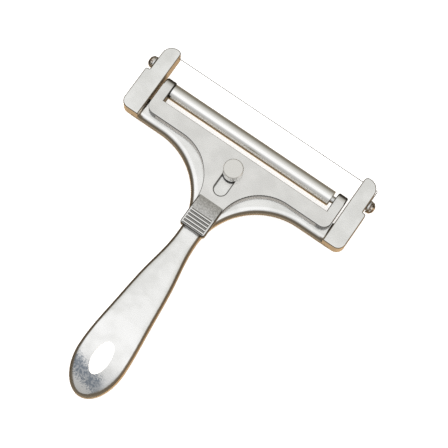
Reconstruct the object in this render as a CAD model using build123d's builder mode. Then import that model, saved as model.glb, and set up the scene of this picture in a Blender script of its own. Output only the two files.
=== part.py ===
"""Hand-held cheese wire cutter: a cast frame with a handle holds a tight steel wire between two
arms, and a roller on a sliding yoke sets how thick the slices are.

Millimetres. +X runs along the wire, +Y from the handle towards the wire, and +Z up, away from the
flat back that the arms, web and neck share. The origin is on that back, on the centre line, half
way between the arm tips and the end of the handle, which curves down below the back plane.
"""
import os
from math import acos, asin, cos, degrees, radians, sin

from build123d import *

os.makedirs("parts", exist_ok=True)

# ---- driving dimensions: overall -------------------------------------------------------------
overall_length = 192.4        # arm tips to the end of the handle
wire_span = 127.0             # free wire between the arms, a 5 inch cut

# ---- driving dimensions: frame casting -------------------------------------------------------
arm_height = 11.2             # arm thickness, back to front
arm_tip_width = 9.6           # arm width beside the wire
arm_step_out = 2.5            # how far the lower arm stands out past the tip
arm_step_drop = 18.9          # arm tip down to that step
arm_length = 45.0             # arm tip down to the arm's foot
arm_outer_radius = 6.5        # rounded outer corner of the tip
arm_inner_radius = 2.5        # rounded inner corner of the tip
arm_foot_radius = 5.0         # rounded outer corner of the foot
arm_step_cove = 0.8           # inside corner of the step
arm_step_radius = 1.2         # outside corner of the step
casting_edge_radius = 0.8     # broken edges of the arms

web_thickness = 5.6           # low cross web that joins the arms
web_top_drop = 32.3           # arm tip down to the web's upper edge
web_foot_drop = 45.2          # arm tip down to the web's lower edge
web_rim_radius = 4.0          # full soft rounding of the web's lower rim
web_rim_flat = 0.2            # least flat left between that rim's front and back roundings
web_cove_radius = 1.0         # cove between the web and each arm
casting_back_radius = 1.4     # back edges of the web and of the handle
shoulder_radius = 41.0        # hollow curve from the web into the neck

neck_thickness = 7.6          # neck rail and handle, back to front
neck_half_width = 6.5
rail_top_drop = 34.2          # arm tip down to the top of the neck rail
rail_foot_drop = 81.5         # arm tip down to the foot of the neck rail
rail_edge_radius = 0.4
handle_top_drop = 78.0        # arm tip down to the start of the rounded handle
handle_half_width = 15.3      # at the widest place
handle_end_length = 23.5      # widest place to the end of the handle
handle_bend_length = 48.4     # start of the backward curve to the end of the handle
handle_bend_radius = 92.0     # curve of its front face
bend_overrun = 5.0            # degrees that the bent slab runs past the handle's end
handle_front_radius = 3.6     # full soft rounding of the handle's front edge
handle_swell = ((0.32, 0.38), (0.67, 0.75))  # shares of the way down, and of the widening there

badge_width = 10.5            # plain oval panel near the end of the handle
badge_length = 20.0
badge_centre_inset = 23.4     # end of the handle to the panel's centre
badge_depth = 0.4

# ---- driving dimensions: wire and its screws --------------------------------------------------
wire_diameter = 0.5
wire_drop = 2.6               # arm tip down to the wire
wire_hole_diameter = 1.2
wire_bend_radius = 0.8
wire_lift = 0.05              # gap between the wire and the arm's outer face
loop_turn = 285.0             # degrees that the wire's end wraps round its screw
wire_screw_drop = 12.8        # arm tip down to the screw
wire_screw_diameter = 4.0
wire_screw_length = 7.6       # shank below the washer
wire_head_diameter = 7.2
wire_head_height = 3.3
wire_slot_width = 0.9
wire_slot_depth = 1.0
wire_washer_diameter = 7.6
wire_washer_thickness = 0.8

# ---- driving dimensions: sliding yoke and roller ----------------------------------------------
slide_gap = 0.2               # yoke to web and to neck rail
side_gap = 1.37               # yoke ear to arm
yoke_top = 10.0               # front face of the yoke above the back plane
yoke_edge_radius = 0.4        # soft front edges of the plate and its ears
ear_width = 6.1
ear_tip_drop = 15.6           # arm tip down to the ear's tip, yoke drawn back
ear_back = 0.4                # ear's back face above the back plane
ear_tip_flat = 0.1            # narrow flat left at the tip between its two roundings
ear_end_gap = 0.3             # thick part of the ear to the web's upper edge
ear_foot_radius = 5.0
bridge_top_drop = 29.6        # arm tip down to the plate's upper edge
bridge_foot_drop = 39.1       # arm tip down to the plate's lower edge
yoke_shoulder_radius = 27.8   # hollow curve from the plate into the tail
tail_wall = 1.5               # wall of the tail beside the neck rail
tail_end_drop = 82.4          # arm tip down to the tail's end
tail_corner_radius = 1.6
tail_edge_radius = 1.1        # front edges along the tail
ear_corner_radius = 0.9
thumb_rise = 1.6              # height of the thumb step on the tail
thumb_start_drop = 62.4
thumb_flat_drop = 71.0
rib_count = 5
rib_pitch = 2.04
rib_first_drop = 72.6
rib_inset = 1.3               # ribs' ends to the tail's sides
rib_radius = 0.9
rib_proud = 0.6
yoke_travel = 12.0
slot_end_gap = 0.3            # guide boss to the slot's end, at each end of the travel

roller_drop = 21.1            # arm tip down to the roller's axis, yoke drawn back
roller_axis_height = 5.2
roller_diameter = 9.6
roller_wall = 1.0
roller_left_gap = 0.3         # the roller has drifted to the left ear
roller_right_gap = 1.96
roller_chamfer = 0.3
roller_bush_length = 8.0
axle_diameter = 4.2
axle_play = 0.05              # radial running clearance
axle_end_inset = 0.15         # axle end below the ear's outer face

# ---- driving dimensions: clamp screw ----------------------------------------------------------
clamp_drop = 41.4             # arm tip down to the clamp screw
boss_diameter = 7.2           # guide boss on the neck rail, runs in the yoke's slot
boss_play = 0.3               # boss to the slot's sides
boss_clear = 0.6              # boss top below the yoke's face
stud_diameter = 5.0
thread_play = 0.05            # radial clearance of both kinds of screw
stud_floor = 1.0              # casting left under the tapped hole
stud_end_gap = 0.6
stud_in_knob = 5.0
stud_chamfer = 0.5
seat_gap = 0.05               # between yoke, washer and knob
clamp_washer_diameter = 11.6
clamp_washer_thickness = 1.0
clamp_washer_play = 0.15
knob_diameter = 11.7
knob_height = 6.5
knob_chamfer = 0.5
knurl_count = 36
knurl_depth = 0.35


def below_tip(drop):
    """Y of a place that is `drop` below the tips of the arms."""
    return overall_length / 2 - drop


def mirrored(part):
    """The same piece for the other side of the cutter."""
    return mirror(part, about=Plane.YZ, mode=Mode.PRIVATE)


def save(piece, name):
    piece.label = name
    export_step(piece, f"parts/{name}.step")


# ---- places that several pieces share ---------------------------------------------------------
arm_inner_x = wire_span / 2
arm_tip_x = arm_inner_x + arm_tip_width
wire_z = arm_height / 2
wire_y = below_tip(wire_drop)
wire_screw_y = below_tip(wire_screw_drop)
clamp_y = below_tip(clamp_drop)
handle_end_y = below_tip(overall_length)

# ---- frame casting: neck rail, which guides the yoke --------------------------------------------
with BuildPart() as rail:
    with BuildSketch():
        with Locations((0, below_tip(rail_top_drop))):
            Rectangle(
                2 * neck_half_width, rail_foot_drop - rail_top_drop, align=(Align.CENTER, Align.MAX)
            )
    extrude(amount=neck_thickness)
    fillet(rail.edges().group_by(Axis.Z)[-1], rail_edge_radius)

# ---- frame casting: handle --------------------------------------------------------------------
# The handle is its plan cut out of a slab that runs straight and then curves back.
shoulder_end_y = below_tip(web_foot_drop + shoulder_radius)
handle_top_y = below_tip(handle_top_drop)
handle_wide_y = handle_end_y + handle_end_length
swell_points = [
    (
        neck_half_width + widening * (handle_half_width - neck_half_width),
        shoulder_end_y + way * (handle_wide_y - shoulder_end_y),
    )
    for way, widening in handle_swell
]
bend_y = handle_end_y + handle_bend_length
bend_sweep = degrees(asin(handle_bend_length / (handle_bend_radius - neck_thickness))) + bend_overrun

with BuildPart() as handle:
    with BuildSketch(Plane.XY.offset(-handle_bend_radius)):
        with BuildLine():
            Polyline(
                (0, handle_top_y), (neck_half_width, handle_top_y), (neck_half_width, shoulder_end_y)
            )
            Spline(
                (neck_half_width, shoulder_end_y),
                *swell_points,
                (handle_half_width, handle_wide_y),
                tangents=((0, -1), (0, -1)),
            )
            EllipticalCenterArc(
                (0, handle_wide_y), handle_half_width, handle_end_length, start_angle=-90, arc_size=90
            )
            mirror(about=Plane.YZ)
        make_face()
    extrude(amount=2 * handle_bend_radius)
    with BuildSketch(Plane.YZ):
        with BuildLine():
            bend_centre = (bend_y, neck_thickness - handle_bend_radius)
            front = CenterArc(bend_centre, handle_bend_radius, 90, bend_sweep)
            back = CenterArc(bend_centre, handle_bend_radius - neck_thickness, 90, bend_sweep)
            Line(front @ 1, back @ 1)
            Polyline(front @ 0, (handle_top_y, neck_thickness), (handle_top_y, 0), back @ 0)
        make_face()
    extrude(amount=2 * handle_half_width, both=True, mode=Mode.INTERSECT)
    sides = handle.faces().filter_by(lambda face: abs(face.normal_at().Z) < 0.3).edges()
    front_rim = handle.faces().filter_by(lambda face: face.normal_at().Z > 0.7).edges()
    fillet([edge for edge in front_rim if edge in sides], handle_front_radius)
    sides = handle.faces().filter_by(lambda face: abs(face.normal_at().Z) < 0.3).edges()
    back_rim = handle.faces().filter_by(lambda face: face.normal_at().Z < -0.7).edges()
    fillet([edge for edge in back_rim if edge in sides], casting_back_radius)

# ---- frame casting: web -----------------------------------------------------------------------
arm_overlap = arm_tip_width / 2
shoulder_x = neck_half_width + shoulder_radius
web_foot_y = below_tip(web_foot_drop)
web_rim = min(web_rim_radius, web_thickness - casting_back_radius - web_rim_flat)

with BuildPart() as web:
    with BuildSketch() as web_plan:
        with BuildLine():
            Polyline(
                (0, below_tip(web_top_drop)),
                (arm_inner_x + arm_overlap, below_tip(web_top_drop)),
                (arm_inner_x + arm_overlap, web_foot_y),
                (shoulder_x, web_foot_y),
            )
            CenterArc((shoulder_x, shoulder_end_y), shoulder_radius, 90, 90)
            Line((neck_half_width, shoulder_end_y), (0, shoulder_end_y))
            mirror(about=Plane.YZ)
        make_face()
    extrude(amount=web_thickness)
    lower_edges = web.edges().filter_by(
        lambda edge: shoulder_end_y + 1 < edge.center().Y < web_foot_y + 1
    )
    fillet(lower_edges.group_by(Axis.Z)[-1], web_rim)
    lower_edges = web.edges().filter_by(
        lambda edge: shoulder_end_y + 1 < edge.center().Y < web_foot_y + 1
    )
    fillet(lower_edges.group_by(Axis.Z)[0], casting_back_radius)

# ---- frame casting: arm -----------------------------------------------------------------------
foot_x = arm_tip_x + arm_step_out
step_y = below_tip(arm_step_drop)
foot_y = below_tip(arm_length)

with BuildPart() as arm:
    with BuildSketch() as arm_plan:
        with BuildLine():
            FilletPolyline(
                (arm_inner_x, (step_y + foot_y) / 2),
                (arm_inner_x, below_tip(0)),
                (arm_tip_x, below_tip(0)),
                (arm_tip_x, step_y),
                (foot_x, step_y),
                (foot_x, foot_y),
                (arm_inner_x, foot_y),
                radius=(
                    arm_inner_radius,
                    arm_outer_radius,
                    arm_step_cove,
                    arm_step_radius,
                    arm_foot_radius,
                ),
            )
            Line((arm_inner_x, foot_y), (arm_inner_x, (step_y + foot_y) / 2))
        make_face()
    extrude(amount=arm_height)
    fillet(arm.edges().group_by(Axis.Z)[-1], casting_edge_radius)
    fillet(arm.edges().group_by(Axis.Z)[0], casting_edge_radius)

# ---- frame casting: the badge panel's cut, as deep everywhere below the curved front ------------
with BuildPart() as badge_cut:
    with BuildSketch(Plane.XY.offset(-handle_bend_radius)):
        with Locations((0, handle_end_y + badge_centre_inset)):
            Ellipse(badge_width / 2, badge_length / 2)
    extrude(amount=2 * handle_bend_radius)
    with BuildSketch(Plane.YZ.offset(-handle_half_width)):
        with Locations(bend_centre):
            Circle(handle_bend_radius - badge_depth)
    extrude(amount=2 * handle_half_width, mode=Mode.SUBTRACT)

# ---- frame casting: joined, with its boss, holes and badge panel -------------------------------
boss_top = yoke_top - boss_clear

with BuildPart() as frame_casting:
    add(rail.part)
    add(handle.part)
    add(web.part)
    add(arm.part)
    add(mirrored(arm.part))
    coves = frame_casting.edges().filter_by(Axis.Y).filter_by(
        lambda edge: abs(edge.center().Z - web_thickness) < 0.01
        and abs(abs(edge.center().X) - arm_inner_x) < 0.01
    )
    fillet(coves, web_cove_radius)
    with BuildSketch(Plane.XY.offset(neck_thickness / 2)):
        with Locations((0, clamp_y)):
            Circle(boss_diameter / 2)
    extrude(amount=boss_top - neck_thickness / 2)
    with Locations((0, clamp_y, boss_top)):
        Hole(stud_diameter / 2 + thread_play, depth=boss_top - stud_floor)
    add(badge_cut.part, mode=Mode.SUBTRACT)
    with BuildSketch(Plane.YZ.offset(-arm_tip_x)):
        with Locations((wire_y, wire_z)):
            Circle(wire_hole_diameter / 2)
    extrude(amount=2 * arm_tip_x, mode=Mode.SUBTRACT)
    for side in (-1, 1):
        screw_face = Plane(
            origin=(side * arm_tip_x, wire_screw_y, wire_z), x_dir=(0, 1, 0), z_dir=(side, 0, 0)
        )
        with Locations(screw_face):
            Hole(wire_screw_diameter / 2 + thread_play, depth=wire_screw_length)
save(frame_casting.part, "frame_casting")

# ---- sliding yoke -----------------------------------------------------------------------------
ear_outer_x = arm_inner_x - side_gap
ear_inner_x = ear_outer_x - ear_width
plate_bottom = web_thickness + slide_gap
plate_thickness = yoke_top - plate_bottom
bridge_foot_y = below_tip(bridge_foot_drop)
tail_half_width = neck_half_width + slide_gap + tail_wall
yoke_shoulder_x = tail_half_width + yoke_shoulder_radius
tail_end_y = below_tip(tail_end_drop)
ear_tip_y = below_tip(ear_tip_drop)
slot_half_width = boss_diameter / 2 + boss_play
slot_top_y = clamp_y + slot_end_gap - boss_play
slot_end_y = clamp_y - yoke_travel - slot_end_gap + boss_play
channel_half_width = neck_half_width + slide_gap
roller_y = below_tip(roller_drop)
ear_tip_radius = (yoke_top - ear_back - ear_tip_flat) / 2

with BuildPart() as ear:
    with BuildSketch(Plane.XY.offset(ear_back)):
        with Locations((ear_inner_x, ear_tip_y)):
            Rectangle(
                ear_width,
                web_top_drop - ear_end_gap - ear_tip_drop,
                align=(Align.MIN, Align.MAX),
            )
    extrude(amount=yoke_top - ear_back)
    tip_edges = ear.edges().filter_by(Axis.X).group_by(Axis.Y)[-1]
    fillet(tip_edges, ear_tip_radius)
    ear_sides = ear.faces().filter_by(Plane.YZ)
    tip_rim = ear_sides.edges().filter_by(lambda edge: edge.center().Y > ear_tip_y - ear_tip_radius)
    fillet(tip_rim, ear_corner_radius)

with BuildPart() as plate:
    with BuildSketch(Plane.XY.offset(plate_bottom)):
        with BuildLine():
            Polyline(
                (0, below_tip(bridge_top_drop)),
                (ear_inner_x + ear_width / 2, below_tip(bridge_top_drop)),
                (ear_inner_x + ear_width / 2, roller_y),
                (ear_outer_x, roller_y),
                (ear_outer_x, bridge_foot_y + ear_foot_radius),
            )
            RadiusArc(
                (ear_outer_x, bridge_foot_y + ear_foot_radius),
                (ear_outer_x - ear_foot_radius, bridge_foot_y),
                ear_foot_radius,
            )
            Line((ear_outer_x - ear_foot_radius, bridge_foot_y), (yoke_shoulder_x, bridge_foot_y))
            CenterArc(
                (yoke_shoulder_x, bridge_foot_y - yoke_shoulder_radius), yoke_shoulder_radius, 90, 90
            )
            FilletPolyline(
                (tail_half_width, bridge_foot_y - yoke_shoulder_radius),
                (tail_half_width, tail_end_y),
                (0, tail_end_y),
                radius=tail_corner_radius,
            )
            mirror(about=Plane.YZ)
        make_face()
    extrude(amount=plate_thickness)

with BuildPart() as thumb_step:
    with BuildSketch(Plane.YZ.offset(-tail_half_width)):
        with BuildLine():
            Polyline(
                (below_tip(thumb_flat_drop), yoke_top + thumb_rise),
                (tail_end_y, yoke_top + thumb_rise),
                (tail_end_y, yoke_top - 1),
                (below_tip(thumb_start_drop), yoke_top - 1),
                (below_tip(thumb_start_drop), yoke_top),
            )
            TangentArc(
                (below_tip(thumb_flat_drop), yoke_top + thumb_rise),
                (below_tip(thumb_start_drop), yoke_top),
                tangent=(1, 0),
            )
        make_face()
    extrude(amount=2 * tail_half_width)
    fillet(thumb_step.edges().filter_by(Axis.Z).group_by(Axis.Y)[0], tail_corner_radius)
    step_sides = thumb_step.faces().filter_by(Plane.YZ).edges()
    step_top = thumb_step.faces().filter_by(lambda face: face.normal_at().Z > 0.7).edges()
    fillet([edge for edge in step_top if edge in step_sides], tail_edge_radius)

with BuildPart() as slide_yoke:
    add(plate.part)
    add(ear.part)
    add(mirrored(ear.part))
    with BuildSketch(Plane.XY.offset(plate_bottom)):
        with Locations((0, (slot_top_y + slot_end_y) / 2)):
            SlotCenterToCenter(slot_top_y - slot_end_y, 2 * slot_half_width, rotation=90)
    extrude(amount=plate_thickness, mode=Mode.SUBTRACT)
    front_rim = slide_yoke.faces().sort_by(Axis.Z)[-1].edges()
    fillet(
        front_rim.filter_by(lambda edge: edge.center().Y < ear_tip_y - 2 * ear_tip_radius),
        yoke_edge_radius,
    )
    add(thumb_step.part)
    with BuildSketch(Plane.XY.offset(plate_bottom)):
        with Locations((0, tail_end_y)):
            Rectangle(
                2 * channel_half_width,
                below_tip(rail_top_drop - 2 * slide_gap) - tail_end_y,
                align=(Align.CENTER, Align.MIN),
            )
    extrude(amount=neck_thickness + slide_gap - plate_bottom, mode=Mode.SUBTRACT)
    with BuildSketch(Plane.YZ.offset(-ear_outer_x)):
        with Locations((roller_y, roller_axis_height)):
            Circle(axle_diameter / 2)
    extrude(amount=2 * ear_outer_x, mode=Mode.SUBTRACT)
    for rib in range(rib_count):
        rib_y = below_tip(rib_first_drop + rib * rib_pitch)
        with BuildSketch(Plane.YZ.offset(rib_inset - tail_half_width)):
            with Locations((rib_y, yoke_top + thumb_rise + rib_proud - rib_radius)):
                Circle(rib_radius)
        extrude(amount=2 * (tail_half_width - rib_inset))
save(slide_yoke.part, "slide_yoke")

# ---- roller, its bushes and its axle ----------------------------------------------------------
roller_left_x = -ear_inner_x + roller_left_gap
roller_length = 2 * ear_inner_x - roller_left_gap - roller_right_gap

with BuildPart() as roller_tube:
    with BuildSketch(Plane.YZ.offset(roller_left_x)):
        with Locations((roller_y, roller_axis_height)):
            Circle(roller_diameter / 2)
            Circle(roller_diameter / 2 - roller_wall, mode=Mode.SUBTRACT)
    extrude(amount=roller_length)
    rims = roller_tube.edges().filter_by(GeomType.CIRCLE).filter_by(
        lambda edge: edge.radius > roller_diameter / 2 - 0.01
    )
    chamfer(rims, roller_chamfer)
save(roller_tube.part, "roller_tube")

bush_starts = {
    "roller_bush_left": roller_left_x,
    "roller_bush_right": roller_left_x + roller_length - roller_bush_length,
}
for bush_name, bush_x in bush_starts.items():
    with BuildPart() as roller_bush:
        with BuildSketch(Plane.YZ.offset(bush_x)):
            with Locations((roller_y, roller_axis_height)):
                Circle(roller_diameter / 2 - roller_wall)
                Circle(axle_diameter / 2 + axle_play, mode=Mode.SUBTRACT)
        extrude(amount=roller_bush_length)
    save(roller_bush.part, bush_name)

axle_end_x = ear_outer_x - axle_end_inset
with BuildPart() as roller_axle:
    with BuildSketch(Plane.YZ.offset(-axle_end_x)):
        with Locations((roller_y, roller_axis_height)):
            Circle(axle_diameter / 2)
    extrude(amount=2 * axle_end_x)
    chamfer(roller_axle.edges(), roller_chamfer)
save(roller_axle.part, "roller_axle")

# ---- clamp screw: washer, stud and knurled knob ------------------------------------------------
washer_bottom = yoke_top + seat_gap
washer_top = washer_bottom + clamp_washer_thickness
knob_bottom = washer_top + seat_gap

with BuildPart() as clamp_washer:
    with BuildSketch(Plane.XY.offset(washer_bottom)):
        with Locations((0, clamp_y)):
            Circle(clamp_washer_diameter / 2)
            Circle(stud_diameter / 2 + clamp_washer_play, mode=Mode.SUBTRACT)
    extrude(amount=clamp_washer_thickness)
save(clamp_washer.part, "clamp_washer")

stud_bottom = stud_floor + stud_end_gap
with BuildPart() as clamp_stud:
    with BuildSketch(Plane.XY.offset(stud_bottom)):
        with Locations((0, clamp_y)):
            Circle(stud_diameter / 2)
    extrude(amount=knob_bottom + stud_in_knob - stud_bottom)
    chamfer(clamp_stud.edges().group_by(Axis.Z)[0], stud_chamfer)
save(clamp_stud.part, "clamp_stud")

with BuildPart() as clamp_knob:
    with BuildSketch(Plane.XY.offset(knob_bottom)):
        with Locations((0, clamp_y)):
            Circle(knob_diameter / 2)
    extrude(amount=knob_height)
    chamfer(clamp_knob.edges().group_by(Axis.Z)[-1], knob_chamfer)
    with BuildSketch(Plane.XY.offset(knob_bottom)):
        with Locations((0, clamp_y)):
            with PolarLocations(knob_diameter / 2, knurl_count):
                Rectangle(2**0.5 * knurl_depth, 2**0.5 * knurl_depth, rotation=45)
    extrude(amount=knob_height, mode=Mode.SUBTRACT)
    with BuildSketch(Plane.XY.offset(knob_bottom)):
        with Locations((0, clamp_y)):
            Circle(stud_diameter / 2)
    extrude(amount=stud_in_knob, mode=Mode.SUBTRACT)
save(clamp_knob.part, "clamp_knob")

# ---- cutting wire -----------------------------------------------------------------------------
# At each end the wire leaves its hole, bends down the arm's outer face and wraps round its screw.
wire_face_x = arm_tip_x + wire_lift + wire_diameter / 2
loop_radius = wire_screw_diameter / 2 + wire_lift + wire_diameter / 2
start_angle = degrees(acos(loop_radius / (wire_y - wire_screw_y)))


def on_loop(angle, side):
    """A point of the wire's loop, `angle` degrees round the screw from the +Y direction."""
    return (
        side * wire_face_x,
        wire_screw_y + loop_radius * cos(radians(angle)),
        wire_z + loop_radius * sin(radians(angle)),
    )


with BuildPart() as cutting_wire:
    with BuildLine() as wire_route:
        bend_x = wire_face_x - wire_bend_radius
        Line((-bend_x, wire_y, wire_z), (bend_x, wire_y, wire_z))
        for side in (-1, 1):
            corner = Vector(side * wire_face_x, wire_y, wire_z)
            down = (Vector(*on_loop(start_angle, side)) - corner).normalized()
            bend_end = corner + down * wire_bend_radius
            TangentArc((side * bend_x, wire_y, wire_z), bend_end, tangent=(side, 0, 0))
            Line(bend_end, on_loop(start_angle, side))
            half_way = start_angle + loop_turn / 2
            quarter = loop_turn / 4
            ThreePointArc(
                on_loop(start_angle, side),
                on_loop(start_angle + quarter, side),
                on_loop(half_way, side),
            )
            ThreePointArc(
                on_loop(half_way, side),
                on_loop(half_way + quarter, side),
                on_loop(start_angle + loop_turn, side),
            )
    with BuildSketch(Plane(origin=(0, wire_y, wire_z), z_dir=(1, 0, 0))):
        Circle(wire_diameter / 2)
    sweep(path=wire_route.wires()[0])
save(cutting_wire.part, "cutting_wire")

# ---- wire washers and screws, right and left ---------------------------------------------------
wire_washer_x = wire_face_x + wire_diameter / 2 + wire_lift
wire_head_x = wire_washer_x + wire_washer_thickness

with BuildPart() as wire_washer:
    with BuildSketch(Plane.YZ.offset(wire_washer_x)):
        with Locations((wire_screw_y, wire_z)):
            Circle(wire_washer_diameter / 2)
            Circle(wire_screw_diameter / 2 + thread_play, mode=Mode.SUBTRACT)
    extrude(amount=wire_washer_thickness)

with BuildPart() as wire_screw:
    with BuildSketch(Plane.XZ.offset(-wire_screw_y)):
        with BuildLine():
            head_edge = (wire_head_x + wire_head_height / 3, wire_z + wire_head_diameter / 2)
            Polyline(
                (wire_head_x + wire_head_height, wire_z),
                (wire_head_x - wire_screw_length, wire_z),
                (wire_head_x - wire_screw_length, wire_z + wire_screw_diameter / 2),
                (wire_head_x, wire_z + wire_screw_diameter / 2),
                (wire_head_x, wire_z + wire_head_diameter / 2),
                head_edge,
            )
            TangentArc((wire_head_x + wire_head_height, wire_z), head_edge, tangent=(0, 1))
        make_face()
    revolve(axis=Axis((0, wire_screw_y, wire_z), (1, 0, 0)))
    with BuildSketch(Plane.YZ.offset(wire_head_x + wire_head_height)):
        with Locations((wire_screw_y, wire_z)):
            Rectangle(wire_slot_width, 2 * wire_head_diameter)
    extrude(amount=-wire_slot_depth, mode=Mode.SUBTRACT)

save(wire_washer.part, "wire_washer_right")
save(mirrored(wire_washer.part), "wire_washer_left")
save(wire_screw.part, "wire_screw_right")
save(mirrored(wire_screw.part), "wire_screw_left")
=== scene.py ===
"""Hand-held cheese wire cutter: the looks of its cast frame, sliding yoke, roller, clamp screw and wire.

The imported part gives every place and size, in metres: +X along the wire, +Y from the handle towards
the wire, +Z up out of the front. The frame's flat back lies at Z 0.
"""
import math

import bpy
from mathutils import Matrix, Vector


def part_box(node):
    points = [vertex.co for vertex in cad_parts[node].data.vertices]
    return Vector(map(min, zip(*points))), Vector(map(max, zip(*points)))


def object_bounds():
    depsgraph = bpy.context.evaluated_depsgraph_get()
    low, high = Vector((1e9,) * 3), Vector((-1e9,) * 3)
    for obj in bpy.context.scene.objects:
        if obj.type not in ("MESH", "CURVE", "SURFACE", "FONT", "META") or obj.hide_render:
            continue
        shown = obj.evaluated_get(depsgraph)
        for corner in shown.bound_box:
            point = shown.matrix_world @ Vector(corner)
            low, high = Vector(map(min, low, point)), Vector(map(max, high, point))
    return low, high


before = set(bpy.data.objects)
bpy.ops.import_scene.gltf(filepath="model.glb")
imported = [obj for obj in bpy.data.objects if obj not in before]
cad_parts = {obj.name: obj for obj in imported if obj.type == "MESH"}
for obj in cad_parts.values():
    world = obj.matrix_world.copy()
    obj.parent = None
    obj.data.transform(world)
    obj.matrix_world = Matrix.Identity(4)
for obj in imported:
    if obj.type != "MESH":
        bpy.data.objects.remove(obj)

cad_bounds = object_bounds()

# ---- frame casting ----------------------------------------------------------------------------
# The frame is one aluminium die casting: two arms, a low cross web and a flat grip that curves back
# at its end. Its broad faces are linished and tumbled bright, while its walls keep the die's dull
# skin, tinted warm as a painted reflection of the room below, with painted shade on their soft rims.
# The grip's end has a white lacquered oval and, below that, a dark band of painted reflection.
LINISHED_ALUMINIUM = (0.87, 0.87, 0.86, 1)
TUMBLED_SHADOW = (0.76, 0.76, 0.745, 1)
DARK_SKIN_SHADE = (0.25, 0.21, 0.16, 1)
WARM_WALL_REFLECTION = (0.80, 0.70, 0.57, 1)
# painted dark reflection on the grip's curved end
DARK_REFLECTION = (0.27, 0.305, 0.35, 1)
BADGE_LACQUER = (0.97, 0.97, 0.96, 1)
MM = 0.001                      # the sizes below are in millimetres
BADGE_WIDTH = 10.5
BADGE_LENGTH = 20.0
BADGE_INSET = 23.4              # grip's end to the panel's middle
REFLECTION_INSET = 11.0            # grip's end to the painted dark reflection
REFLECTION_SLANT = 0.25            # fall of the band for each millimetre across the grip
REFLECTION_RAGGED = 14.0           # how far the speckle pushes the band's edges
REFLECTION_HALF = (2.5, 6.0)       # half width: full up to the first, gone past the second
REFLECTION_REACH = (5.0, 12.0)     # the same, from the grip's middle to the right
SPECK_STRENGTH = 0.45
ARM_START = (60.0, 62.0)        # middle of the frame to its arms
ARM_INNER_FACE = (63.8, 64.2)   # middle of the frame to the arms' inner faces
EAR_START = (14.5, 17.0)        # arm tips down to the yoke's ears
EAR_FINISH = (32.0, 34.0)       # arm tips down to the ears' lower ends
EAR_GAP_SHADE = 0.75
POLISH_FACING = (0.78, 0.89)    # how squarely a face looks out before linishing reaches it
ARM_POLISH_FACING = (0.86, 0.97)
WARM_FACING = (0.25, 0.62)      # walls are painted pale and warm as a painted reflection, and their soft rims darker as painted shade
REFLECTION_FACING = (0.5, 0.75)
LACQUER_FACING = (0.0, 0.1)
DIE_SKIN_ROUGHNESS = 0.40
POLISH_GAIN = 0.22              # how much smoother linishing makes it
PEBBLE_ROUGHNESS = 0.08
LACQUER_ROUGHNESS = 0.2         # how much rougher the lacquer is than the polish
CASTING_RELIEF = 0.02


class Nodes:
    """A node tree that is written as expressions."""

    def __init__(self, tree):
        self.tree = tree

    def add(self, kind, settings=None, sockets=None, output=0):
        """Adds a node, its settings first and then its sockets' values or links."""
        node = self.tree.nodes.new(kind)
        for name, value in (settings or {}).items():
            if name == "stops":
                set_stops(node.color_ramp, value)
            else:
                setattr(node, name, value)
        for name, value in (sockets or {}).items():
            self.feed(node.inputs[name], value)
        return Link(self, node.outputs[output])

    def math(self, operation, first, second=0.0):
        return self.add("ShaderNodeMath", {"operation": operation}, {0: first, 1: second})

    def feed(self, socket, value):
        """Links a socket, or sets its value."""
        if isinstance(value, Link):
            self.tree.links.new(value.socket, socket)
        else:
            socket.default_value = value


class Link:
    """A node's output, which sums and products can use."""

    def __init__(self, nodes, socket):
        self.nodes = nodes
        self.socket = socket

    def math(self, operation, first, second=0.0):
        return self.nodes.math(operation, first, second)

    def __add__(self, other):
        return self.math("ADD", self, other)

    def __sub__(self, other):
        return self.math("SUBTRACT", self, other)

    def __rsub__(self, other):
        return self.math("SUBTRACT", other, self)

    def __mul__(self, other):
        return self.math("MULTIPLY", self, other)

    def __neg__(self):
        return self.math("MULTIPLY", self, -1.0)

    __radd__ = __add__
    __rmul__ = __mul__

    def absolute(self):
        return self.math("ABSOLUTE", self)

    def between(self, low, high):
        """0 below low, 1 above high, and smooth in between."""
        settings = {"interpolation_type": "SMOOTHSTEP"}
        sockets = {"Value": self, "From Min": low, "From Max": high}
        return self.nodes.add("ShaderNodeMapRange", settings, sockets)

    def past(self, span):
        """0 short of a span in millimetres, 1 past it, and smooth in between."""
        return self.between(span[0] * MM, span[1] * MM)

    def blend(self, first, second):
        """The colour first where this value is 0 and second where it is 1."""
        sockets = {0: self, 6: first, 7: second}
        return self.nodes.add("ShaderNodeMix", {"data_type": "RGBA"}, sockets, output=2)

    def axis(self, name):
        """One part of a vector."""
        return self.nodes.add("ShaderNodeSeparateXYZ", None, {0: self}, output=name)


def set_stops(ramp, stops):
    """Gives a colour ramp its stops, as pairs of place and colour."""
    while len(ramp.elements) > 1:
        ramp.elements.remove(ramp.elements[-1])
    ramp.elements[0].position, ramp.elements[0].color = stops[0]
    for place, colour in stops[1:]:
        ramp.elements.new(place).color = colour


class Finish(Nodes):
    """A metal or plastic finish around one Principled surface."""

    def __init__(self, name, metallic):
        self.material = bpy.data.materials.new(name)
        self.material.use_nodes = True
        super().__init__(self.material.node_tree)
        self.surface = self.tree.nodes["Principled BSDF"].inputs
        self.surface["Metallic"].default_value = metallic
        self.place = self.add("ShaderNodeTexCoord", output="Object")
        self.facing = self.add("ShaderNodeTexCoord", output="Normal")

    def noise(self, grain, detail=2.0, stretch=(1, 1, 1)):
        """Noise of the given grain in millimetres, longer along an axis with a small stretch."""
        place = self.add("ShaderNodeMapping", None, {"Vector": self.place, "Scale": stretch})
        sockets = {"Vector": place, "Scale": 1 / (grain * MM), "Detail": detail}
        return self.add("ShaderNodeTexNoise", None, sockets)

    def bump(self, height, depth):
        """Relief that is depth millimetres from the lowest to the highest value of height."""
        sockets = {"Height": height, "Distance": depth * MM}
        self.feed(self.surface["Normal"], self.add("ShaderNodeBump", None, sockets))


def dress(node, finish):
    """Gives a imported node's surface a finish."""
    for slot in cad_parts[node].material_slots:
        slot.material = finish.material


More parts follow.
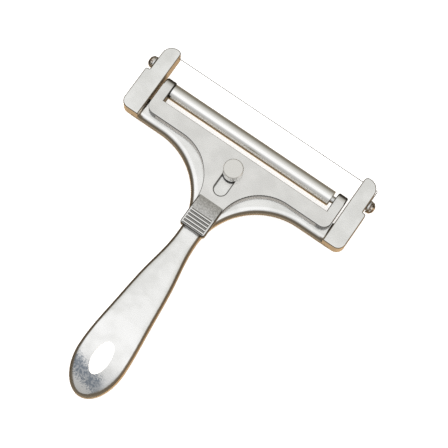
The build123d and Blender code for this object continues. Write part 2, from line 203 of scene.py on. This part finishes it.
casting = Finish("die_cast_aluminium", metallic=1.0)
across = casting.place.axis("X")
along_grip = casting.place.axis("Y")
upright = casting.facing.axis("Z")
flatness = upright.absolute()
on_arm = across.absolute().past(ARM_START)
arm_edge = on_arm * (1 - flatness.between(*ARM_POLISH_FACING))
polished = flatness.between(*POLISH_FACING) * (1 - arm_edge)
# Walls are tinted warm as a painted reflection of the warm room below, and their soft rims get painted
# shade.
skin_reflection_and_shade = flatness.between(*WARM_FACING).blend(WARM_WALL_REFLECTION, DARK_SKIN_SHADE)
pebble = casting.noise(0.9)
speckle = casting.noise(0.7, detail=4.0)
cloud = casting.noise(14.0, detail=3.0)
tumbled = cloud.between(0.35, 0.65).blend(TUMBLED_SHADOW, LINISHED_ALUMINIUM)

# A painted dark reflection, ragged and speckled, slants across the grip's end.
up_grip = along_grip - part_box("frame_casting")[0].y
ragged = (speckle - 0.5) * (REFLECTION_RAGGED * MM)
reflection_line = up_grip + across * REFLECTION_SLANT - REFLECTION_INSET * MM + ragged
painted_reflection = 1 - reflection_line.absolute().past(REFLECTION_HALF)
painted_reflection = painted_reflection * (1 - across.past(REFLECTION_REACH)) * upright.between(*REFLECTION_FACING)
specks = casting.noise(1.3, detail=5.0).between(0.42, 0.62)
painted_reflection = painted_reflection * (1 - specks * SPECK_STRENGTH)

# White lacquer fills the oval panel.
oval_x = across * (2 / (BADGE_WIDTH * MM))
oval_y = (up_grip - BADGE_INSET * MM) * (2 / (BADGE_LENGTH * MM))
outside_oval = (oval_x * oval_x + oval_y * oval_y).between(0.97, 1.0)
lacquer = (1 - outside_oval) * upright.between(*LACQUER_FACING)

# Painted shade darkens the arms' inner walls beside the yoke's ears, where the narrow gaps lie in
# shadow.
below_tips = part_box("frame_casting")[1].y - along_grip
ear_gap_shade = below_tips.past(EAR_START) * (1 - below_tips.past(EAR_FINISH))
ear_gap_shade = ear_gap_shade * on_arm * (1 - across.absolute().past(ARM_INNER_FACE)) * EAR_GAP_SHADE
skin_reflection_and_shade = ear_gap_shade.blend(skin_reflection_and_shade, DARK_SKIN_SHADE)

metal_colour = polished.blend(skin_reflection_and_shade, painted_reflection.blend(tumbled, DARK_REFLECTION))
casting.feed(casting.surface["Base Color"], lacquer.blend(metal_colour, BADGE_LACQUER))
casting.feed(casting.surface["Metallic"], 1 - lacquer)
casting_roughness = DIE_SKIN_ROUGHNESS - polished * POLISH_GAIN + (pebble - 0.5) * PEBBLE_ROUGHNESS
casting.feed(casting.surface["Roughness"], casting_roughness + lacquer * LACQUER_ROUGHNESS)
casting.bump(pebble + casting.noise(3.5) * 1.5 + speckle, CASTING_RELIEF)
dress("frame_casting", casting)

# ---- sliding yoke -----------------------------------------------------------------------------
# The yoke is a thinner casting that slides on the neck, with an ear at each end for the roller. Its
# thumb ramp is rougher than the linished plate and painted darker, as painted shade on a slope that
# faces away from the light.
YOKE_FACE = (0.79, 0.785, 0.77, 1)
YOKE_CLOUD = (0.72, 0.715, 0.70, 1)
# painted shade for the plate's walls and the rib grooves, also used for the slot's dark rim
DARK_WALL = (0.13, 0.125, 0.115, 1)
WEB_REFLECTION_WALL = (0.55, 0.51, 0.46, 1)
LIGHT_WALL = (0.90, 0.89, 0.87, 1)
RAMP_SHADE = (0.40, 0.395, 0.385, 1)
SLOT_LENGTH = 12.0              # between the centres of the slot's two round ends
SLOT_RADIUS = 3.9
SLOT_RIM = (0.4, 0.8)           # width of the slot's dark rim: full, and gone
RAMP_START = 10.9               # tail's end to the thumb ramp
RAMP_LENGTH = 9.2
RAMP_FADE = 0.4
RIBS_START = 0.8                # tail's end to the first rib
RIBS_FADE = (0.3, 0.2)
RIBS_HALF = (6.6, 7.1)          # middle of the yoke to the ribs' ends
GROOVE_TOP = (0.55, 0.2)        # ribs' crests down to the painted shade in the grooves
GROOVE_SHADE = 0.6
EAR_INNER_FACE = (54.5, 55.8)   # middle of the yoke to its ears
WEB_REFLECTION_TOP = (7.2, 8.4)      # height up to which the plate's wall is painted lighter, a painted reflection of the web
FACE_FACING = (0.78, 0.96)
FRONT_WALL_FACING = (0.8, 0.95)
FRONT_WALL_MATTNESS = 0.7          # how far the pale front wall, painted light for the roller to reflect, is from bare metal
YOKE_WALL_ROUGHNESS = 0.38
FACE_GAIN = 0.19                # how much smoother the linished face is
RAMP_ROUGHNESS = 0.12           # how much rougher the thumb ramp is than the face
YOKE_RELIEF = 0.02

yoke = Finish("yoke_casting", metallic=1.0)
yoke_across = yoke.place.axis("X")
along = yoke.place.axis("Y")
yoke_height = yoke.place.axis("Z")
tail_end, yoke_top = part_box("slide_yoke")
yoke_face = yoke.facing.axis("Z").absolute().between(*FACE_FACING)
grit = yoke.noise(0.8, detail=4.0)

ramp_low_y = tail_end.y + RAMP_START * MM
ramp_high_y = ramp_low_y + RAMP_LENGTH * MM
above_ramp = along.between(ramp_high_y - RAMP_FADE * MM, ramp_high_y)
on_ramp = along.between(ramp_low_y, ramp_low_y + RAMP_FADE * MM) * (1 - above_ramp)
# The thumb ramp is painted darker as painted shade, speckled by the grit.
ramp_shade = on_ramp * (grit.between(0.3, 0.7) * 0.7 + 0.3)
yoke_tone = yoke.noise(11.0, detail=3.0).between(0.35, 0.65).blend(YOKE_CLOUD, YOKE_FACE)
plate_colour = ramp_shade.blend(yoke_tone, RAMP_SHADE)

between_ears = 1 - yoke_across.absolute().past(EAR_INNER_FACE)
# The wall facing the roller is painted pale and matt, as painted light for the roller to reflect.
front_wall = yoke.facing.axis("Y").between(*FRONT_WALL_FACING) * between_ears
# The wall's lower part is painted lighter, a painted reflection of the bright web below.
lower_wall = (1 - yoke_height.past(WEB_REFLECTION_TOP)) * between_ears
# Elsewhere the walls are painted dark, as painted shade along the plate's edges.
wall_colour = front_wall.blend(lower_wall.blend(DARK_WALL, WEB_REFLECTION_WALL), LIGHT_WALL)

# Painted shade darkens the grooves between the ribs, and a dark band is painted round the slot's rim.
rib_low_y = tail_end.y + RIBS_START * MM
above_ribs = along.between(ramp_low_y, ramp_low_y + RIBS_FADE[1] * MM)
in_ribs = along.between(rib_low_y, rib_low_y + RIBS_FADE[0] * MM) * (1 - above_ribs)
in_ribs = in_ribs * (1 - yoke_across.absolute().past(RIBS_HALF))
crests = yoke_height.between(yoke_top.z - GROOVE_TOP[0] * MM, yoke_top.z - GROOVE_TOP[1] * MM)
groove_shade = in_ribs * (1 - crests) * GROOVE_SHADE

stud_low, stud_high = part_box("clamp_stud")
slot_middle = (stud_low.y + stud_high.y) / 2 - SLOT_LENGTH * MM / 2
past_end = yoke.math("MAXIMUM", (along - slot_middle).absolute() - SLOT_LENGTH * MM / 2, 0.0)
from_slot = yoke_across * yoke_across + past_end * past_end
slot_edge, rim_full, rim_gone = (((SLOT_RADIUS + r) * MM) ** 2 for r in (0.0, *SLOT_RIM))
past_rim = from_slot.between(rim_full, rim_gone)
slot_rim = from_slot.between(slot_edge * 0.98, slot_edge) * (1 - past_rim)

bare_colour = yoke_face.blend(wall_colour, plate_colour)
groove_shade_and_rim = yoke.math("MAXIMUM", groove_shade, slot_rim)
yoke.feed(yoke.surface["Base Color"], groove_shade_and_rim.blend(bare_colour, DARK_WALL))
yoke.feed(yoke.surface["Metallic"], 1 - front_wall * FRONT_WALL_MATTNESS)
yoke_roughness = YOKE_WALL_ROUGHNESS - yoke_face * FACE_GAIN + on_ramp * RAMP_ROUGHNESS
yoke.feed(yoke.surface["Roughness"], yoke_roughness)
yoke.bump(grit, YOKE_RELIEF)
dress("slide_yoke", yoke)

# ---- roller -----------------------------------------------------------------------------------
# The roller is a length of drawn stainless tube, polished round and round, on two pressed-in acetal
# bushes. It turns on a ground steel axle that is held in the yoke's ears.
ROLLER_STEEL = (0.95, 0.945, 0.93, 1)
ROLLER_SHADE = (0.87, 0.865, 0.85, 1)
ACETAL = (0.82, 0.81, 0.78, 1)
ACETAL_SHADE = (0.74, 0.73, 0.69, 1)
GROUND_STEEL = (0.70, 0.70, 0.69, 1)
GROUND_SHADE = (0.60, 0.60, 0.59, 1)

tube = Finish("polished_tube", metallic=1.0)
rings = tube.noise(0.5, detail=3.0, stretch=(1, 0.02, 0.02))
streaks = tube.noise(2.0, stretch=(0.03, 1, 1))
tube.feed(tube.surface["Base Color"], streaks.blend(ROLLER_SHADE, ROLLER_STEEL))
tube.feed(tube.surface["Roughness"], rings * 0.10 + 0.08)
tube.bump(rings, 0.003)
dress("roller_tube", tube)

acetal = Finish("moulded_acetal", metallic=0.0)
acetal_cloud = acetal.noise(2.5)
acetal.feed(acetal.surface["Base Color"], acetal_cloud.blend(ACETAL, ACETAL_SHADE))
acetal.feed(acetal.surface["Roughness"], acetal_cloud * 0.2 + 0.35)
acetal.bump(acetal.noise(0.3), 0.004)
dress("roller_bush_left", acetal)
dress("roller_bush_right", acetal)

ground = Finish("ground_steel", metallic=1.0)
grinding = ground.noise(0.4, detail=3.0)
ground.feed(ground.surface["Base Color"], grinding.blend(GROUND_SHADE, GROUND_STEEL))
ground.feed(ground.surface["Roughness"], grinding * 0.12 + 0.16)
ground.bump(grinding, 0.003)
for node in ("roller_axle", "clamp_washer", "clamp_stud", "wire_washer_left", "wire_washer_right"):
    dress(node, ground)

# ---- clamp screw ------------------------------------------------------------------------------
# A thumb screw locks the yoke: a straight-knurled steel knob on a stud, over a plain washer. The
# knob is satin nickel plated.
SATIN_NICKEL = (0.80, 0.79, 0.765, 1)
WORN_NICKEL = (0.70, 0.69, 0.66, 1)

nickel = Finish("satin_nickel", metallic=1.0)
satin = nickel.noise(0.7, detail=3.0)
nickel.feed(nickel.surface["Base Color"], satin.blend(WORN_NICKEL, SATIN_NICKEL))
nickel.feed(nickel.surface["Roughness"], satin * 0.14 + 0.20)
nickel.bump(satin, 0.008)
dress("clamp_knob", nickel)

# ---- cutting wire and its screws --------------------------------------------------------------
# The wire is drawn stainless, passed through both arms and wound round a slotted pan-head screw on
# each side. The screws are bright plated; their warm tint and dark patches are a painted reflection of
# the warm, dark room.
DRAWN_WIRE = (0.46, 0.44, 0.42, 1)
WIRE_SHADE = (0.38, 0.365, 0.345, 1)
BRIGHT_PLATE = (0.72, 0.66, 0.59, 1)
DARK_REFLECTION_PLATE = (0.13, 0.10, 0.075, 1)

drawn = Finish("drawn_wire", metallic=1.0)
draw_lines = drawn.noise(0.3, stretch=(0.02, 1, 1))
drawn.feed(drawn.surface["Base Color"], draw_lines.blend(WIRE_SHADE, DRAWN_WIRE))
drawn.feed(drawn.surface["Roughness"], draw_lines * 0.15 + 0.5)
drawn.bump(draw_lines, 0.002)
dress("cutting_wire", drawn)

plated = Finish("bright_plate", metallic=1.0)
plate_mottle = plated.noise(1.2, detail=3.0)
# Dark patches painted on the plating stand for the dark reflections in the domes.
plate_tone = plate_mottle.between(0.42, 0.58).blend(DARK_REFLECTION_PLATE, BRIGHT_PLATE)
plated.feed(plated.surface["Base Color"], plate_tone)
plated.feed(plated.surface["Roughness"], plate_mottle * 0.12 + 0.10)
plated.bump(plate_mottle, 0.006)
dress("wire_screw_left", plated)
dress("wire_screw_right", plated)

# ---- floor ------------------------------------------------------------------------------------
# A plain white table under soft light, just below the object's lowest point. It is left out of the
# metal's reflections, which come from the room alone.
FLOOR_HALF = 3.0                # metres
FLOOR_GAP = 0.1                 # object's lowest point to the table
TABLE_WHITE = (0.7, 0.7, 0.7, 1)
TABLE_GLOW = 0.55
floor_z = cad_bounds[0].z - FLOOR_GAP * MM
corners = [(FLOOR_HALF * x, FLOOR_HALF * y, floor_z) for x, y in ((-1, -1), (1, -1), (1, 1), (-1, 1))]
floor_mesh = bpy.data.meshes.new("floor")
floor_mesh.from_pydata(corners, [], [(0, 1, 2, 3)])
floor = bpy.data.objects.new("floor", floor_mesh)
bpy.context.scene.collection.objects.link(floor)
table = Finish("white_table", metallic=0.0)
table.surface["Base Color"].default_value = TABLE_WHITE
table.surface["Roughness"].default_value = 0.9
table.surface["Specular IOR Level"].default_value = 0.0
table.surface["Emission Color"].default_value = (1, 1, 1, 1)
table.surface["Emission Strength"].default_value = TABLE_GLOW
floor_mesh.materials.append(table.material)
floor.visible_glossy = False

# ---- studio light -----------------------------------------------------------------------------
# The room is a soft overhead panel with darker walls: its light changes with the angle from straight
# overhead towards the handle, fades at the two sides, and is warm below the horizon.
SIDE_SHADE = (0.10, 0.09, 0.075, 1)
WARM_SIDE = (0.62, 0.46, 0.31, 1)
ROOM_STRENGTH = 1.15
SOFTBOX_WIDTH = 1.6             # metres
SOFTBOX_HEIGHT = 1.2            # metres above the frame's back
SOFTBOX_POWER = 18              # watts
world = bpy.data.worlds.new("studio")
world.use_nodes = True
bpy.context.scene.world = world
room = Nodes(world.node_tree)
background = world.node_tree.nodes["Background"]
ray = room.add("ShaderNodeTexCoord", output="Generated")
towards_handle = -ray.axis("Y")
height = ray.axis("Z")
sideways = ray.axis("X")
angle = room.math("ARCTAN2", towards_handle, height)
turn = angle * (1 / (2 * math.pi)) + 0.5


def tilt(degrees):
    """Place on the ramp of a direction tilted from overhead towards the handle."""
    return degrees / 360 + 0.5


room_ramp = room.add(
    "ShaderNodeValToRGB",
    {
        "stops": [
            (tilt(-178), (0.70, 0.51, 0.32, 1)),
            (tilt(-140), (0.20, 0.17, 0.13, 1)),
            (tilt(-88), (0.20, 0.18, 0.14, 1)),
            (tilt(-62), (0.38, 0.37, 0.33, 1)),
            (tilt(-36), (0.60, 0.59, 0.56, 1)),
            (tilt(-15), (0.76, 0.76, 0.74, 1)),
            (tilt(-9), (0.86, 0.86, 0.855, 1)),
            (tilt(-4), (0.93, 0.93, 0.93, 1)),
            (tilt(27), (0.96, 0.96, 0.96, 1)),
            (tilt(34), (0.72, 0.72, 0.72, 1)),
            (tilt(44), (0.52, 0.525, 0.53, 1)),
            (tilt(58), (0.45, 0.445, 0.43, 1)),
            (tilt(80), (0.37, 0.36, 0.34, 1)),
            (tilt(98), (0.68, 0.66, 0.61, 1)),
            (tilt(113), (0.68, 0.65, 0.58, 1)),
            (tilt(123), (0.32, 0.26, 0.19, 1)),
            (tilt(132), (0.15, 0.11, 0.07, 1)),
            (tilt(152), (0.15, 0.11, 0.065, 1)),
            (tilt(162), (0.82, 0.62, 0.40, 1)),
            (tilt(178), (0.82, 0.60, 0.37, 1)),
        ]
    },
    {"Fac": turn},
)
left_shade = (-sideways).between(0.5, 0.75) * (1 - height.between(-0.35, 0.05))
right_warmth = sideways.between(0.9, 0.97) * (1 - height.between(0.0, 0.25))
walls = left_shade.blend(room_ramp, SIDE_SHADE)
room.feed(background.inputs["Color"], right_warmth.blend(walls, WARM_SIDE))
background.inputs["Strength"].default_value = ROOM_STRENGTH

lamp_data = bpy.data.lights.new("overhead_softbox", "AREA")
lamp_data.shape = "SQUARE"
lamp_data.size = SOFTBOX_WIDTH
lamp_data.energy = SOFTBOX_POWER
lamp_data.specular_factor = 0.0
lamp = bpy.data.objects.new("overhead_softbox", lamp_data)
lamp.matrix_world = Matrix.Translation((0, 0, SOFTBOX_HEIGHT))
lamp.visible_glossy = False
bpy.context.scene.collection.objects.link(lamp)

# ---- camera -----------------------------------------------------------------------------------
# The camera stands almost overhead, a little towards the handle and the right, and is rolled so
# that the handle points down and to the left.
CAMERA_PLACE = Vector((94.8, 96.2 - 241.3, 853.7)) * MM
ROLL, TURN, TIP = -0.5984, -0.0947, -0.2014   # radians
LENS, SENSOR_WIDTH = 124.1, 36.0
camera_data = bpy.data.cameras.new("camera")
camera_data.sensor_width = SENSOR_WIDTH
camera_data.lens = LENS
camera = bpy.data.objects.new("camera", camera_data)
to_camera = Matrix.Rotation(ROLL, 4, "Z") @ Matrix.Rotation(TURN, 4, "Y") @ Matrix.Rotation(TIP, 4, "X")
camera.matrix_world = Matrix.Translation(CAMERA_PLACE) @ to_camera.transposed()
bpy.context.scene.collection.objects.link(camera)
bpy.context.scene.camera = camera
bpy.context.scene.view_settings.view_transform = "Standard"
# Denoising would wipe out the fine thumb ribs and the wire.
bpy.context.scene.cycles.use_denoising = False
